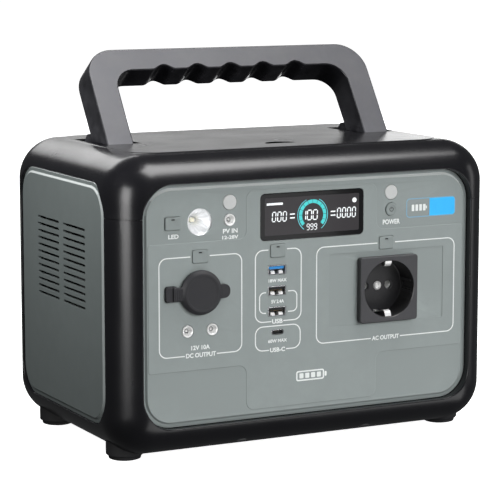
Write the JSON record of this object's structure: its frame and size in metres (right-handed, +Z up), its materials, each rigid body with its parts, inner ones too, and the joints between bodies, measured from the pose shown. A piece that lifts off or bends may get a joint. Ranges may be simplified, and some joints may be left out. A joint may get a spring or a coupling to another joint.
{
  "type": "portable power station",
  "caption": "Boxy portable power station: rounded black case, grey panels, fold-down grip, display, mains socket, car socket, USB ports and side vents.",
  "frame": {"origin": "middle of the footprint, on the surface the feet stand on", "axes": "+X to the right along the front, -Y out of the front panel, +Z up"},
  "size_m": [0.2946, 0.1956, 0.2722],
  "materials": {
    "case_black": "satin moulded plastic",
    "panel_grey": "matt grey-green moulded plastic",
    "side_grey": "matt grey moulded plastic",
    "handle_grey": "fine-grained moulded plastic, black on the sides",
    "button_grey": "matt",
    "foot_rubber": "matt rubber",
    "cover_rubber": "matt rubber",
    "steel": "plated",
    "nickel": "nickel plated",
    "reflector_chrome": "bright",
    "lamp_clear": "clear",
    "lens_white": "translucent",
    "display_glass": "gloss tinted",
    "display_screen": "dark liquid crystal screen",
    "socket_black": "satin",
    "tongue_blue": "satin",
    "tongue_black": "satin",
    "circuit_board": "solder mask",
    "battery_wrap": "shrink wrap",
    "heat_sink_aluminium": "extruded",
    "fan_black": "satin",
    "screw_black": "black oxide"
  },
  "bodies": {
    "case": {"upper_shell": "case_black", "lower_shell": "case_black", "front_panel": "panel_grey", "rear_panel": "panel_grey", "left_side_panel": "side_grey", "right_side_panel": "side_grey", "hinge_pin_left": "steel", "hinge_pin_right": "steel", "foot_front_left": "foot_rubber", "foot_front_right": "foot_rubber", "foot_rear_left": "foot_rubber", "foot_rear_right": "foot_rubber", "lamp_lens": "lamp_clear", "lamp_reflector": "reflector_chrome", "lamp_led_board": "circuit_board", "indicator_lens_left": "lens_white", "indicator_lens_right": "lens_white", "display_window": "display_glass", "display_module": "display_screen", "pv_input_jack": "nickel", "dc_jack_left": "nickel", "dc_jack_right": "nickel", "car_socket": "socket_black", "car_socket_contact": "nickel", "cover_strap_anchor": "cover_rubber", "usb_a_port_1": "steel", "usb_a_port_2": "steel", "usb_a_port_3": "steel", "usb_a_tongue_1": "tongue_blue", "usb_a_tongue_2": "tongue_black", "usb_a_tongue_3": "tongue_black", "usb_c_port": "steel", "usb_c_tongue": "tongue_black", "ac_socket": "socket_black", "ac_earth_clip": "nickel", "ac_contact_live": "nickel", "ac_contact_neutral": "nickel", "ac_socket_screw": "steel", "battery_pack": "battery_wrap", "battery_bracket": "steel", "bms_board": "circuit_board", "inverter_board": "circuit_board", "heat_sink": "heat_sink_aluminium", "control_board": "circuit_board", "fan_frame": "fan_black", "rear_screw_1": "screw_black", "rear_screw_2": "screw_black", "rear_screw_3": "screw_black", "rear_screw_4": "screw_black"},
    "handle": {"handle": "handle_grey"},
    "led_button": {"led_button": "button_grey"},
    "dc_button": {"dc_button": "button_grey"},
    "usb_button": {"usb_button": "button_grey"},
    "ac_button": {"ac_button": "button_grey"},
    "power_button": {"power_button": "button_grey"},
    "car_socket_cover": {"car_socket_cover": "cover_rubber"},
    "fan_rotor": {"fan_rotor": "fan_black"}
  },
  "joints": [
    {"name": "handle_fold", "type": "hinge", "parent": "case", "child": "handle", "pos_m": [0, 0.0274, 0.2008], "axis": [-1, 0, 0], "range_deg": [0, 55.6]},
    {"name": "led_button_press", "type": "slide", "parent": "case", "child": "led_button", "axis": [0, 1, 0], "range_m": [0, 0.0008], "stiffness_N_per_m": 900, "springref_m": -0.001},
    {"name": "dc_button_press", "type": "slide", "parent": "case", "child": "dc_button", "axis": [0, 1, 0], "range_m": [0, 0.0008], "stiffness_N_per_m": 900, "springref_m": -0.001},
    {"name": "usb_button_press", "type": "slide", "parent": "case", "child": "usb_button", "axis": [0, 1, 0], "range_m": [0, 0.0008], "stiffness_N_per_m": 900, "springref_m": -0.001},
    {"name": "ac_button_press", "type": "slide", "parent": "case", "child": "ac_button", "axis": [0, 1, 0], "range_m": [0, 0.0008], "stiffness_N_per_m": 900, "springref_m": -0.001},
    {"name": "power_button_press", "type": "slide", "parent": "case", "child": "power_button", "axis": [0, 1, 0], "range_m": [0, 0.0008], "stiffness_N_per_m": 900, "springref_m": -0.001},
    {"name": "car_socket_cover_hinge", "type": "hinge", "parent": "case", "child": "car_socket_cover", "pos_m": [-0.1022, -0.0952, 0.116], "axis": [0, 0, -1], "range_deg": [0, 115], "stiffness_Nm_per_rad": 0.01, "springref_deg": -2.86},
    {"name": "fan_spin", "type": "hinge", "parent": "case", "child": "fan_rotor", "pos_m": [-0.1262, 0, 0.128], "axis": [1, 0, 0], "continuous": true}
  ]
}
